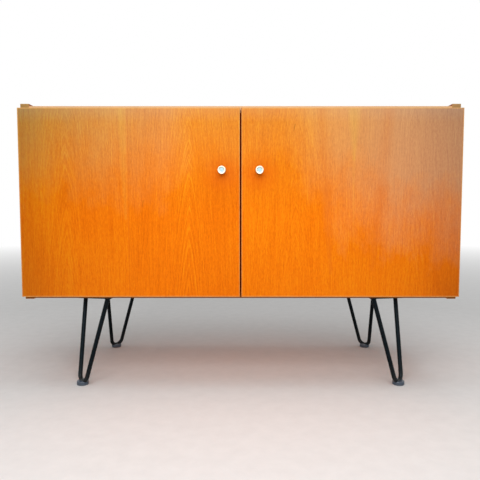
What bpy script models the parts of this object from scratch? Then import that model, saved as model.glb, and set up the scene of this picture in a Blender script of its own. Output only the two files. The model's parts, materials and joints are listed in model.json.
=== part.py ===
"""A two-door credenza on hairpin legs, with its shelves, hinges, catches and screws.

Metres, +Z up. The doors face -Y. The origin is on the floor, under the middle of the
whole object's bounding box, knobs included.
"""

import math

import bmesh
import bpy
from mathutils import Matrix, Vector
from mathutils.geometry import convex_hull_2d

# Carcass: two sides that stand proud of the top and bottom panels between them
CABINET_WIDTH = 1.2
CARCASS_DEPTH = 0.45
SIDE_HEIGHT = 0.536
SIDE_THICKNESS = 0.024
SIDE_ABOVE_TOP = 0.0062
SIDE_BELOW_BOTTOM = 0.0023
PANEL_THICKNESS = 0.018
DIVIDER_THICKNESS = 0.018
BACK_THICKNESS = 0.005
BACK_REBATE = 0.01
EDGE_ROUND = 0.0008

# Doors, laid over the carcass and flush with its sides
DOOR_THICKNESS = 0.019
DOOR_SEAM = 0.003
SIDE_ABOVE_DOOR = 0.0146
SIDE_BELOW_DOOR = 0.0093
SWING_CLEARANCE = 0.0008

# Concealed pin hinges, let into the doors' outer edges
HINGE_FROM_DOOR_END = 0.08
EYE_RADIUS = 0.004
EYE_COVER = 0.001
EYE_GAP = 0.0004
CENTRE_EYE_HEIGHT = 0.02
OUTER_EYE_HEIGHT = 0.015
PIVOT_DEPTH_SHARE = 0.5
PIN_RADIUS = 0.0018
PIN_CLEARANCE = 0.0003
PIN_HEAD_RADIUS = 0.003
PIN_HEAD_HEIGHT = 0.0012
LEAF_HEIGHT = 0.06
LEAF_THICKNESS = 0.002
LEAF_INNER_MARGIN = 0.002
EYE_ROOT_INSET_SHARE = 0.25
DOOR_LEAF_WIDTH = 0.022
LUG_CLEARANCE = 0.001
NOTCH_CLEARANCE = 0.0015

# Turned knobs, held by a screw through the door
KNOB_RADIUS = 0.011
KNOB_NECK_RADIUS = 0.0055
KNOB_LENGTH = 0.0235
KNOB_NECK_LENGTH = 0.008
KNOB_RIM_THICKNESS = 0.006
KNOB_RIM_ROUND = 0.0016
KNOB_DISH_RADIUS = 0.0062
KNOB_DISH_DEPTH = 0.0014
KNOB_BORE_DEPTH = 0.013
KNOB_FROM_SEAM_EDGE = 0.049
KNOB_BELOW_DOOR_TOP = 0.1675
KNOB_SCREW_RADIUS = 0.002
KNOB_SCREW_BITE = 0.011
KNOB_SCREW_HEAD_RADIUS = 0.004
KNOB_SCREW_HEAD_HEIGHT = 0.0014

# Magnetic catches under the top panel, and the strike plates that they hold
CATCH_LENGTH = 0.046
CATCH_DEPTH = 0.014
CATCH_HEIGHT = 0.013
CATCH_FLANGE_LENGTH = 0.009
CATCH_FLANGE_HEIGHT = 0.002
CATCH_SCREW_HOLE_RADIUS = 0.0018
CATCH_FROM_DIVIDER = 0.012
STRIKE_LENGTH = 0.034
STRIKE_HEIGHT = 0.012
STRIKE_THICKNESS = 0.0012
STRIKE_CORNER_RADIUS = 0.003
STRIKE_HOLE_RADIUS = 0.002

# One shelf in each half, on four pins, with spare pin holes above and below
SHELF_THICKNESS = 0.016
SHELF_SETBACK = 0.02
SHELF_BACK_CLEARANCE = 0.002
SHELF_END_CLEARANCE = 0.001
SHELF_PIN_RADIUS = 0.0025
SHELF_PIN_NOSE_RADIUS = 0.004
SHELF_PIN_NOSE_LENGTH = 0.009
SHELF_PIN_CHAMFER = 0.0008
PIN_HOLE_DEPTH = 0.0075
PIN_HOLE_PITCH = 0.032
PIN_ROW_FROM_SHELF_END = 0.06
SHELF_HEIGHT_SHARE = 0.5
PIN_HOLE_STEPS = (-1, 0, 1)

# Hairpin legs: one bent rod each, welded under a plate that is screwed to the bottom panel
LEG_HEIGHT = 0.254
ROD_RADIUS = 0.00635
ROD_SPREAD = 0.127
BEND_RADIUS = 0.021
LEG_LEAN = 0.049
LEG_FROM_SIDE = 0.1786
LEG_FROM_EDGE = 0.068
PLATE_THICKNESS = 0.004
PLATE_CORNER_RADIUS = 0.014
PLATE_REACH = 0.046
WELD_THROAT = 0.003
PLATE_SCREW_REACH = 0.044
PLATE_SCREW_SPREAD = 0.08
PLATE_SCREW_OFFSET = 0.004
LEG_SCREW_RADIUS = 0.0022
LEG_SCREW_BITE = 0.013
LEG_SCREW_HEAD_RADIUS = 0.0046
LEG_SCREW_HEAD_HEIGHT = 0.0028

# Snap-on pads, which hold the rods' bends and stand on the floor
PAD_WALL = 0.0105
PAD_BASE = 0.003
PAD_GRIP_SHARE = 0.7
PAD_FOOT_CHAMFER = 0.0012
PAD_SHOULDER = 0.003

# Gap between pieces that touch, and how far a cutter runs past what it cuts
SEAT = 0.0003
OVERRUN = 0.005
WELD_DISTANCE = 0.000001

# Facets of round forms
ROUND_STEPS = 24
EYE_STEPS = 16
HOLE_STEPS = 12
SCREW_STEPS = 8
ARC_STEPS = 4
DOME_STEPS = 3
BEND_STEPS = 12
ROD_RESOLUTION = 4
EDGE_STEPS = 2
SMOOTH_ANGLE = math.radians(35)

# Heights, from the floor up
ROD_BOTTOM_Z = PAD_BASE + SEAT
PLATE_TOP_Z = ROD_BOTTOM_Z + LEG_HEIGHT
BOTTOM_Z = PLATE_TOP_Z + SEAT
SIDE_BOTTOM_Z = BOTTOM_Z - SIDE_BELOW_BOTTOM
SIDE_TOP_Z = SIDE_BOTTOM_Z + SIDE_HEIGHT
TOP_Z = SIDE_TOP_Z - SIDE_ABOVE_TOP
FLOOR_Z = BOTTOM_Z + PANEL_THICKNESS
CEILING_Z = TOP_Z - PANEL_THICKNESS
DOOR_BOTTOM_Z = SIDE_BOTTOM_Z + SIDE_BELOW_DOOR
DOOR_TOP_Z = SIDE_TOP_Z - SIDE_ABOVE_DOOR
KNOB_Z = DOOR_TOP_Z - KNOB_BELOW_DOOR_TOP
SHELF_PIN_Z = FLOOR_Z + (CEILING_Z - FLOOR_Z) * SHELF_HEIGHT_SHARE
SHELF_Z = SHELF_PIN_Z + SHELF_PIN_NOSE_RADIUS + SEAT

# The hinge's pivot, from the outer face and from the door's back; the door's outer back
# corner swings round it, and the gap behind the door leaves that corner room
PIVOT_INSET = EYE_RADIUS + EYE_COVER
PIVOT_DEPTH = DOOR_THICKNESS * PIVOT_DEPTH_SHARE
DOOR_GAP = math.hypot(PIVOT_INSET, PIVOT_DEPTH) - PIVOT_DEPTH + SWING_CLEARANCE

# Depths, from the knobs' fronts to the carcass's back
KNOB_PROJECTION = SEAT + KNOB_LENGTH
TOTAL_DEPTH = KNOB_PROJECTION + DOOR_THICKNESS + DOOR_GAP + CARCASS_DEPTH
DOOR_FRONT_Y = KNOB_PROJECTION - TOTAL_DEPTH / 2
DOOR_BACK_Y = DOOR_FRONT_Y + DOOR_THICKNESS
FRONT_Y = DOOR_BACK_Y + DOOR_GAP
BACK_Y = FRONT_Y + CARCASS_DEPTH
BACK_FACE_Y = BACK_Y - BACK_THICKNESS
SHELF_FRONT_Y = FRONT_Y + SHELF_SETBACK
SHELF_BACK_Y = BACK_FACE_Y - SHELF_BACK_CLEARANCE
PIN_ROWS_Y = (SHELF_FRONT_Y + PIN_ROW_FROM_SHELF_END, SHELF_BACK_Y - PIN_ROW_FROM_SHELF_END)

# Places across the width
OUTER_X = CABINET_WIDTH / 2
INNER_X = OUTER_X - SIDE_THICKNESS
DIVIDER_X = DIVIDER_THICKNESS / 2
KNOB_X = DOOR_SEAM / 2 + KNOB_FROM_SEAM_EDGE
CATCH_X = DIVIDER_X + CATCH_FROM_DIVIDER + CATCH_LENGTH / 2
PIN_HOLES_Z = tuple(SHELF_PIN_Z + step * PIN_HOLE_PITCH for step in PIN_HOLE_STEPS)

SIDES = {"left": -1, "right": 1}
ENDS = {"front": -1, "rear": 1}
UP = Vector((0, 0, 1))


# Tools for meshes


def finished(bm):
    """The mesh of a bmesh, with its faces pointing out and its round faces shaded smooth."""
    bmesh.ops.recalc_face_normals(bm, faces=bm.faces)
    mesh = bpy.data.meshes.new("solid")
    bm.to_mesh(mesh)
    bm.free()
    mesh.shade_smooth()
    mesh.set_sharp_from_angle(angle=SMOOTH_ANGLE)
    return mesh


def block(corner, opposite, ease=0.0):
    """A box between two corners, with its edges rounded by ease."""
    corner, opposite = Vector(corner), Vector(opposite)
    size = [abs(length) for length in opposite - corner]
    bm = bmesh.new()
    bmesh.ops.create_cube(bm, size=1)
    place = Matrix.Translation((corner + opposite) / 2) @ Matrix.Diagonal((*size, 1))
    bmesh.ops.transform(bm, matrix=place, verts=bm.verts)
    if ease:
        bmesh.ops.bevel(
            bm, geom=bm.edges[:], offset=ease, segments=EDGE_STEPS, profile=0.5, affect="EDGES"
        )
    return finished(bm)


def prism(outline, low, high):
    """An outline in the XY plane, raised from the height low to the height high."""
    bm = bmesh.new()
    floor = bm.faces.new([bm.verts.new((x, y, low)) for x, y in outline])
    raised = bmesh.ops.extrude_face_region(bm, geom=[floor])["geom"]
    corners = [item for item in raised if isinstance(item, bmesh.types.BMVert)]
    bmesh.ops.translate(bm, vec=(0, 0, high - low), verts=corners)
    return finished(bm)


def turned(profile, steps=ROUND_STEPS):
    """A solid of revolution about Z, from (radius, height) points that begin and end on it."""
    bm = bmesh.new()
    chain = [bm.verts.new((radius, 0, height)) for radius, height in profile]
    edges = [bm.edges.new(pair) for pair in zip(chain, chain[1:])]
    bmesh.ops.spin(
        bm, geom=chain + edges, cent=(0, 0, 0), axis=UP, angle=math.tau, steps=steps, use_merge=True
    )
    bmesh.ops.remove_doubles(bm, verts=bm.verts, dist=WELD_DISTANCE)
    return finished(bm)


def cylinder(start, end, radius, steps=HOLE_STEPS):
    """A round bar between two points."""
    start, end = Vector(start), Vector(end)
    run = end - start
    mesh = turned([(0, 0), (radius, 0), (radius, run.length), (0, run.length)], steps)
    mesh.transform(Matrix.Translation(start) @ run.to_track_quat("Z", "Y").to_matrix().to_4x4())
    return mesh


def bent_bar(points, radius, swells=None):
    """A round bar that follows points: a curve with a round bevel and filled ends.

    The swells are factors of the radius, one for each point.
    """
    curve = bpy.data.curves.new("bar", "CURVE")
    curve.dimensions = "3D"
    curve.bevel_depth = radius
    curve.bevel_resolution = ROD_RESOLUTION
    curve.use_fill_caps = True
    spline = curve.splines.new("POLY")
    spline.points.add(len(points) - 1)
    for point, place, swell in zip(spline.points, points, swells or [1] * len(points)):
        point.co = (*place, 1)
        point.radius = swell
    bm = bmesh.new()
    bm.from_mesh(evaluated(bpy.data.objects.new("bar", curve)))
    bmesh.ops.remove_doubles(bm, verts=bm.verts, dist=WELD_DISTANCE)
    return finished(bm)


def evaluated(obj):
    """The mesh of a helper object after its modifiers. The helper goes away."""
    bpy.context.scene.collection.objects.link(obj)
    mesh = bpy.data.meshes.new_from_object(obj.evaluated_get(bpy.context.evaluated_depsgraph_get()))
    bpy.data.objects.remove(obj)
    return mesh


def boolean(mesh, operation, others):
    """The mesh after each of the others is joined to it (UNION) or cut from it (DIFFERENCE)."""
    body = bpy.data.objects.new("body", mesh)
    helpers = [bpy.data.objects.new("helper", other) for other in others]
    for helper in helpers:
        bpy.context.scene.collection.objects.link(helper)
        step = body.modifiers.new(operation, "BOOLEAN")
        step.operation = operation
        step.solver = "EXACT"
        step.object = helper
    result = evaluated(body)
    for helper in helpers:
        bpy.data.objects.remove(helper)
    result.shade_smooth()
    result.set_sharp_from_angle(angle=SMOOTH_ANGLE)
    return result


def cut(mesh, cutters):
    return boolean(mesh, "DIFFERENCE", cutters)


def joined(mesh, others):
    return boolean(mesh, "UNION", others)


def arc(centre, radius, start, end, steps=ARC_STEPS):
    """Points of an arc in a plane, between two angles in degrees."""
    angles = [math.radians(start + (end - start) * step / steps) for step in range(steps + 1)]
    return [(centre[0] + radius * math.cos(a), centre[1] + radius * math.sin(a)) for a in angles]


def hull(points):
    """The outline of a plane figure stretched round points."""
    return [points[index] for index in convex_hull_2d(points)]


def rounded_rectangle(length, height, radius):
    right, top = length / 2 - radius, height / 2 - radius
    corners = ((right, top), (-right, top), (-right, -top), (right, -top))
    return [
        point
        for turn, corner in enumerate(corners)
        for point in arc(corner, radius, turn * 90, (turn + 1) * 90)
    ]


# Tools for objects


def material(name, colour, roughness, metallic=0.0):
    made = bpy.data.materials.new(name)
    made.use_nodes = True
    shader = made.node_tree.nodes["Principled BSDF"]
    shader.inputs["Base Color"].default_value = (*colour, 1)
    shader.inputs["Roughness"].default_value = roughness
    shader.inputs["Metallic"].default_value = metallic
    made.diffuse_color = (*colour, 1)
    return made


def placed(name, mesh, finish, location, turn=None, parent=None):
    """A named piece whose mesh is drawn about its own origin. A parent is an empty."""
    obj = bpy.data.objects.new(name, mesh)
    bpy.context.scene.collection.objects.link(obj)
    if not mesh.materials:
        mesh.materials.append(finish)
    obj.location = location
    if turn is not None:
        obj.rotation_euler = turn
    if parent is not None:
        obj.parent = parent
        obj.matrix_parent_inverse = Matrix.Translation(-parent.location)
    return obj


def in_place(name, mesh, finish, origin, parent=None):
    """A named piece whose mesh is drawn where it stands, given its own origin."""
    mesh.transform(Matrix.Translation(-Vector(origin)))
    return placed(name, mesh, finish, origin, None, parent)


def facing(direction):
    """The rotation that turns a mesh's +Z to a direction."""
    return Vector(direction).to_track_quat("Z", "Y").to_euler()


# Carcass


def back_seat():
    """The cutter of the rebate that the back sits in, all round the carcass's rear."""
    reach_x = INNER_X + BACK_REBATE
    return block(
        (-reach_x, BACK_FACE_Y - SEAT, FLOOR_Z - BACK_REBATE),
        (reach_x, BACK_Y + OVERRUN, CEILING_Z + BACK_REBATE),
    )


def pin_holes(face_x, into):
    """Cutters of the shelf pin holes in an upright's face. The holes run into it along X."""
    mouth_x = face_x - into * OVERRUN
    bottom_x = face_x + into * PIN_HOLE_DEPTH
    radius = SHELF_PIN_RADIUS + SEAT
    return [
        cylinder((mouth_x, y, z), (bottom_x, y, z), radius)
        for y in PIN_ROWS_Y
        for z in PIN_HOLES_Z
    ]


def hinge_heights():
    """Height of each hinge's middle, by its name."""
    return {
        "upper": DOOR_TOP_Z - HINGE_FROM_DOOR_END,
        "lower": DOOR_BOTTOM_Z + HINGE_FROM_DOOR_END,
    }


def make_side(word, side, finish):
    """A side: a rebate for the back, two mortises for hinge leaves, and shelf pin holes."""
    panel = block(
        (side * OUTER_X, FRONT_Y, SIDE_BOTTOM_Z), (side * INNER_X, BACK_Y, SIDE_TOP_Z), EDGE_ROUND
    )
    reach_z = LEAF_HEIGHT / 2 + SEAT
    mortises = [
        block(
            (side * (OUTER_X + OVERRUN), FRONT_Y - OVERRUN, z - reach_z),
            (
                side * (INNER_X + LEAF_INNER_MARGIN - SEAT),
                FRONT_Y + LEAF_THICKNESS + SEAT,
                z + reach_z,
            ),
        )
        for z in hinge_heights().values()
    ]
    mesh = cut(panel, [back_seat(), *mortises, *pin_holes(side * INNER_X, side)])
    in_place(f"{word}_side_panel", mesh, finish, (side * OUTER_X, FRONT_Y, SIDE_BOTTOM_Z))


def make_top(finish):
    reach_x = INNER_X - SEAT
    panel = block((-reach_x, FRONT_Y, CEILING_Z), (reach_x, BACK_Y, TOP_Z), EDGE_ROUND)
    in_place("top_panel", cut(panel, [back_seat()]), finish, (0, FRONT_Y, TOP_Z))


def make_bottom(finish):
    """The bottom: the rebate for the back, and pilot holes for the legs' screws."""
    reach_x = INNER_X - SEAT
    panel = block((-reach_x, FRONT_Y, BOTTOM_Z), (reach_x, BACK_Y, FLOOR_Z), EDGE_ROUND)
    mouth = UP * (BOTTOM_Z - OVERRUN)
    tip = UP * (BOTTOM_Z + LEG_SCREW_BITE + SEAT)
    holes = [
        cylinder(place.to_3d() + mouth, place.to_3d() + tip, LEG_SCREW_RADIUS + SEAT)
        for turn, centre in leg_places().values()
        for place in screw_places(turn, centre)
    ]
    in_place("bottom_panel", cut(panel, [back_seat(), *holes]), finish, (0, FRONT_Y, BOTTOM_Z))


def make_divider(finish):
    panel = block(
        (-DIVIDER_X, FRONT_Y, FLOOR_Z + SEAT),
        (DIVIDER_X, BACK_FACE_Y - SEAT, CEILING_Z - SEAT),
        EDGE_ROUND,
    )
    holes = [hole for side in SIDES.values() for hole in pin_holes(side * DIVIDER_X, -side)]
    in_place("centre_divider", cut(panel, holes), finish, (0, FRONT_Y, FLOOR_Z + SEAT))


def make_back(finish):
    reach_x = INNER_X + BACK_REBATE - SEAT
    low, high = FLOOR_Z - BACK_REBATE + SEAT, CEILING_Z + BACK_REBATE - SEAT
    mesh = block((-reach_x, BACK_FACE_Y, low), (reach_x, BACK_Y, high))
    in_place("back_panel", mesh, finish, (0, BACK_FACE_Y, low))


# Shelves


def make_shelf(word, side, finish):
    inner = side * (DIVIDER_X + SHELF_END_CLEARANCE)
    outer = side * (INNER_X - SHELF_END_CLEARANCE)
    mesh = block(
        (inner, SHELF_FRONT_Y, SHELF_Z), (outer, SHELF_BACK_Y, SHELF_Z + SHELF_THICKNESS), EDGE_ROUND
    )
    in_place(f"{word}_shelf", mesh, finish, ((inner + outer) / 2, SHELF_FRONT_Y, SHELF_Z))


def shelf_pin_mesh():
    """A stepped pin along Z, with the upright's face at zero: shank below, nose above."""
    nose = SEAT + SHELF_PIN_NOSE_LENGTH
    return turned(
        [
            (0, SEAT - PIN_HOLE_DEPTH),
            (SHELF_PIN_RADIUS, SEAT - PIN_HOLE_DEPTH),
            (SHELF_PIN_RADIUS, SEAT),
            (SHELF_PIN_NOSE_RADIUS, SEAT),
            (SHELF_PIN_NOSE_RADIUS, nose - SHELF_PIN_CHAMFER),
            (SHELF_PIN_NOSE_RADIUS - SHELF_PIN_CHAMFER, nose),
            (0, nose),
        ],
        HOLE_STEPS,
    )


def make_shelf_pins(word, side, mesh, finish):
    faces = {"outer": (INNER_X, -side), "inner": (DIVIDER_X, side)}
    for where, (face_x, away) in faces.items():
        for end, y in zip(ENDS, PIN_ROWS_Y):
            place = (side * face_x, y, SHELF_PIN_Z)
            placed(f"{word}_shelf_pin_{where}_{end}", mesh, finish, place, facing((away, 0, 0)))


# Hinges


def in_plan(side, points):
    """World XY of points in the hinge's plan: in from the outer face, back from the door's back."""
    return [(side * (OUTER_X - inward), DOOR_BACK_Y + back) for inward, back in points]


def eye_outline():
    return arc((PIVOT_INSET, -PIVOT_DEPTH), EYE_RADIUS, 0, 360, EYE_STEPS)[:-1]


def pivot(side, z):
    return Vector((side * (OUTER_X - PIVOT_INSET), DOOR_BACK_Y - PIVOT_DEPTH, z))


def eye_bore(side, z):
    reach = UP * (LEAF_HEIGHT / 2)
    centre = pivot(side, z)
    return cylinder(centre - reach, centre + reach, PIN_RADIUS + PIN_CLEARANCE)


def carcass_leaf_mesh(side, z):
    """The plate in the side's front edge, with the middle eye on a lug ahead of it."""
    inner = SIDE_THICKNESS - LEAF_INNER_MARGIN
    plate_plan = in_plan(side, [(EYE_COVER, DOOR_GAP), (inner, DOOR_GAP + LEAF_THICKNESS)])
    plate = block(
        (*plate_plan[0], z - LEAF_HEIGHT / 2), (*plate_plan[1], z + LEAF_HEIGHT / 2)
    )
    root_back = DOOR_GAP + LEAF_THICKNESS / 2
    root = [(EYE_COVER, root_back), (PIVOT_INSET + EYE_RADIUS, root_back)]
    lug = prism(
        in_plan(side, hull(eye_outline() + root)),
        z - CENTRE_EYE_HEIGHT / 2,
        z + CENTRE_EYE_HEIGHT / 2,
    )
    return cut(joined(plate, [lug]), [eye_bore(side, z)])


def door_leaf_start():
    return PIVOT_INSET + EYE_RADIUS + LUG_CLEARANCE


def door_leaf_mesh(side, z):
    """The plate in the door's back, with an eye above and an eye below the carcass's."""
    start = door_leaf_start()
    plate_plan = in_plan(side, [(start, -LEAF_THICKNESS), (start + DOOR_LEAF_WIDTH, 0)])
    plate = block(
        (*plate_plan[0], z - LEAF_HEIGHT / 2), (*plate_plan[1], z + LEAF_HEIGHT / 2)
    )
    inset = LEAF_THICKNESS * EYE_ROOT_INSET_SHARE
    root_in = start + LEAF_THICKNESS
    root = [(root_in, inset - LEAF_THICKNESS), (root_in, -inset)]
    outline = in_plan(side, hull(eye_outline() + root))
    near = CENTRE_EYE_HEIGHT / 2 + EYE_GAP
    far = near + OUTER_EYE_HEIGHT
    eyes = [prism(outline, z + near, z + far), prism(outline, z - far, z - near)]
    return cut(joined(plate, eyes), [eye_bore(side, z)])


def pin_mesh():
    """The hinge pin about its middle, with a head past each outer eye."""
    far = CENTRE_EYE_HEIGHT / 2 + EYE_GAP + OUTER_EYE_HEIGHT + SEAT
    tip = far + PIN_HEAD_HEIGHT
    upper = [(PIN_RADIUS, far), (PIN_HEAD_RADIUS, far), (PIN_HEAD_RADIUS, tip), (0, tip)]
    lower = [(radius, -height) for radius, height in reversed(upper)]
    return turned(lower + upper, HOLE_STEPS)


def hinge_notch(side, z):
    """The cutter of a door's notch: open at the back and the outer edge, its corner round."""
    clear = EYE_RADIUS + NOTCH_CLEARANCE
    wall = door_leaf_start() + LEAF_THICKNESS + SEAT
    plan = [
        (-OVERRUN, OVERRUN),
        (-OVERRUN, -PIVOT_DEPTH - clear),
        *arc((wall - clear, -PIVOT_DEPTH), clear, -90, 0),
        (wall, OVERRUN),
    ]
    heads = EYE_GAP + OUTER_EYE_HEIGHT + SEAT + PIN_HEAD_HEIGHT
    reach = CENTRE_EYE_HEIGHT / 2 + heads + LUG_CLEARANCE
    return prism(in_plan(side, plan), z - reach, z + reach)


def leaf_mortise(side, z):
    """The cutter of the shallow seat of a door leaf, in the door's back."""
    start = door_leaf_start()
    plan = in_plan(
        side, [(start, -LEAF_THICKNESS - SEAT), (start + DOOR_LEAF_WIDTH + SEAT, OVERRUN)]
    )
    reach = LEAF_HEIGHT / 2 + SEAT
    return block((*plan[0], z - reach), (*plan[1], z + reach))


def make_hinges(word, side, finish, steel, axis):
    pin = pin_mesh()
    for level, z in hinge_heights().items():
        name = f"{word}_{level}_hinge"
        centre = pivot(side, z)
        in_place(f"{name}_carcass_leaf", carcass_leaf_mesh(side, z), finish, centre)
        in_place(f"{name}_door_leaf", door_leaf_mesh(side, z), finish, centre, axis)
        placed(f"{name}_pin", pin, steel, centre, None, axis)


# Doors, knobs and catches


def make_axis(word, side):
    """The empty on a door's hinge axis, which everything on the door is parented to."""
    axis = bpy.data.objects.new(f"{word}_door_axis", None)
    axis.location = pivot(side, DOOR_BOTTOM_Z)
    bpy.context.scene.collection.objects.link(axis)
    return axis


def make_door(word, side, finish, axis):
    slab = block(
        (side * DOOR_SEAM / 2, DOOR_FRONT_Y, DOOR_BOTTOM_Z),
        (side * OUTER_X, DOOR_BACK_Y, DOOR_TOP_Z),
        EDGE_ROUND,
    )
    knob_hole = cylinder(
        (side * KNOB_X, DOOR_FRONT_Y - OVERRUN, KNOB_Z),
        (side * KNOB_X, DOOR_BACK_Y + OVERRUN, KNOB_Z),
        KNOB_SCREW_RADIUS + SEAT,
    )
    heights = hinge_heights().values()
    notches = [hinge_notch(side, z) for z in heights]
    mortises = [leaf_mortise(side, z) for z in heights]
    mesh = cut(slab, [*notches, *mortises, knob_hole])
    in_place(f"{word}_door", mesh, finish, axis.location, axis)


def knob_mesh():
    """A turned knob on Z: a waisted neck, a head with a thick round rim, and a sunk flat face."""
    flare = KNOB_RADIUS - KNOB_NECK_RADIUS
    rise = KNOB_LENGTH - KNOB_RIM_THICKNESS - KNOB_NECK_LENGTH
    waist = [
        (KNOB_NECK_RADIUS + flare * (1 - across), KNOB_NECK_LENGTH + rise * up)
        for across, up in arc((0, 0), 1, 0, 90)
    ]
    crown = KNOB_RADIUS - KNOB_RIM_ROUND
    rim = arc((crown, KNOB_LENGTH - KNOB_RIM_ROUND), KNOB_RIM_ROUND, 0, 90)
    face = KNOB_LENGTH - KNOB_DISH_DEPTH
    slope = [
        (crown + (crown - KNOB_DISH_RADIUS) * across, face + KNOB_DISH_DEPTH * up)
        for across, up in arc((0, 0), 1, 90, 180)[1:]
    ]
    dish = [*slope, (0, face)]
    bore = KNOB_SCREW_RADIUS + SEAT
    inside = [(0, KNOB_BORE_DEPTH), (bore, KNOB_BORE_DEPTH), (bore, 0), (KNOB_NECK_RADIUS, 0)]
    return turned(inside + waist + rim + dish)


def screw_mesh(radius, length, head_radius, head_height):
    """A domed-head screw on Z: the shank runs down from zero to a short point."""
    dome = [(head_radius * x, head_height * z) for x, z in arc((0, 0), 1, 0, 90, DOME_STEPS)]
    return turned([(0, -length), (radius, radius - length), (radius, 0), *dome], SCREW_STEPS)


def make_knob(word, side, knob, screw, finish, steel, axis):
    place = (side * KNOB_X, DOOR_FRONT_Y - SEAT, KNOB_Z)
    placed(f"{word}_knob", knob, finish, place, facing((0, -1, 0)), axis)
    seat = (side * KNOB_X, DOOR_BACK_Y + SEAT, KNOB_Z)
    placed(f"{word}_knob_screw", screw, steel, seat, facing((0, 1, 0)), axis)


def catch_z():
    """Height of the middle of the catch's body and of the strike plate."""
    body = CATCH_HEIGHT - CATCH_FLANGE_HEIGHT
    return CEILING_Z - SEAT - CATCH_FLANGE_HEIGHT - body / 2


def make_catch(word, side, plastic):
    """A magnetic catch: a body hung from a flange, which a screw at each end holds."""
    front = DOOR_BACK_Y + SEAT + STRIKE_THICKNESS + SEAT
    top = CEILING_Z - SEAT
    centre = side * CATCH_X
    reach = CATCH_LENGTH / 2
    body_reach = reach - CATCH_FLANGE_LENGTH
    shoulder = top - CATCH_FLANGE_HEIGHT
    low = top - CATCH_HEIGHT
    outline = [
        (centre - reach, top),
        (centre - reach, shoulder),
        (centre - body_reach, shoulder),
        (centre - body_reach, low),
        (centre + body_reach, low),
        (centre + body_reach, shoulder),
        (centre + reach, shoulder),
        (centre + reach, top),
    ]
    mesh = prism(outline, -front - CATCH_DEPTH, -front)
    mesh.transform(Matrix.Rotation(math.pi / 2, 4, "X"))
    hole_y = front + CATCH_DEPTH / 2
    holes = [
        cylinder((x, hole_y, shoulder - OVERRUN), (x, hole_y, top + OVERRUN), CATCH_SCREW_HOLE_RADIUS)
        for x in (
            centre - reach + CATCH_FLANGE_LENGTH / 2,
            centre + reach - CATCH_FLANGE_LENGTH / 2,
        )
    ]
    in_place(f"{word}_magnetic_catch", cut(mesh, holes), plastic, (centre, front, top))


def strike_mesh():
    """A strike plate on Z, with its screw hole in the middle."""
    plate = prism(
        rounded_rectangle(STRIKE_LENGTH, STRIKE_HEIGHT, STRIKE_CORNER_RADIUS), 0, STRIKE_THICKNESS
    )
    hole = cylinder((0, 0, -OVERRUN), (0, 0, STRIKE_THICKNESS + OVERRUN), STRIKE_HOLE_RADIUS)
    return cut(plate, [hole])


def make_strike(word, side, mesh, steel, axis):
    place = (side * CATCH_X, DOOR_BACK_Y + SEAT, catch_z())
    placed(f"{word}_strike_plate", mesh, steel, place, facing((0, 1, 0)), axis)


# Legs. In a leg's own plan +X points out to the cabinet's corner, and the plate's middle
# is at the origin; the rods spread along Y and meet in the bend, which leans out along +X.


def leg_places():
    """Each leg's name, with its turn about Z and the place of its plate's middle."""
    x = OUTER_X - LEG_FROM_SIDE
    rows = {"front": FRONT_Y + LEG_FROM_EDGE, "rear": BACK_Y - LEG_FROM_EDGE}
    return {
        f"{end}_{word}": (math.atan2(ENDS[end], side), Vector((side * x, rows[end])))
        for end in ENDS
        for word, side in SIDES.items()
    }


def screw_plan():
    """Places of the screws in the leg's own plan: one at the corner, one on each arm."""
    return [
        Vector((PLATE_SCREW_REACH, 0)),
        Vector((PLATE_SCREW_OFFSET, PLATE_SCREW_SPREAD / 2)),
        Vector((PLATE_SCREW_OFFSET, -PLATE_SCREW_SPREAD / 2)),
    ]


def screw_places(turn, centre):
    spin = Matrix.Rotation(turn, 2)
    return [centre + spin @ place for place in screw_plan()]


def rod_points():
    """The bent rod's centre line: down one arm, round the bend and up the other."""
    bend_z = ROD_BOTTOM_Z + ROD_RADIUS
    end_z = PLATE_TOP_Z - PLATE_THICKNESS / 2
    lean = math.atan2(LEG_LEAN, end_z - bend_z)
    reach = math.hypot(LEG_LEAN, end_z - bend_z)
    half = ROD_SPREAD / 2
    distance = math.hypot(half, reach - BEND_RADIUS)
    touch = math.atan2(reach - BEND_RADIUS, half) - math.acos(BEND_RADIUS / distance)
    angles = (math.degrees(touch), -180 - math.degrees(touch))
    bend = arc((0, BEND_RADIUS), BEND_RADIUS, *angles, BEND_STEPS)
    flat = [(half, reach), *bend, (-half, reach)]
    return [
        (LEG_LEAN - up * math.sin(lean), across, bend_z + up * math.cos(lean)) for across, up in flat
    ]


def welded_rod():
    """The bent rod, flared at both ends for the weld, and cut level inside the plate."""
    points = [Vector(point) for point in rod_points()]
    underside = PLATE_THICKNESS / 2
    ends = []
    for end, following in ((points[0], points[1]), (points[-1], points[-2])):
        down = (following - end).normalized()
        steps = (-PLATE_THICKNESS, underside, underside + WELD_THROAT)
        ends.append([end + down * step for step in steps])
    line = [*ends[0], *points[1:-1], *reversed(ends[1])]
    flare = 1 + WELD_THROAT / ROD_RADIUS
    swells = [flare, flare, *[1] * (len(line) - 4), flare, flare]
    level = PLATE_TOP_Z - PLATE_THICKNESS / 2
    waste = block((-ROD_SPREAD, -ROD_SPREAD, level), (ROD_SPREAD, ROD_SPREAD, level + ROD_SPREAD))
    return cut(bent_bar(line, ROD_RADIUS, swells), [waste])


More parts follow.
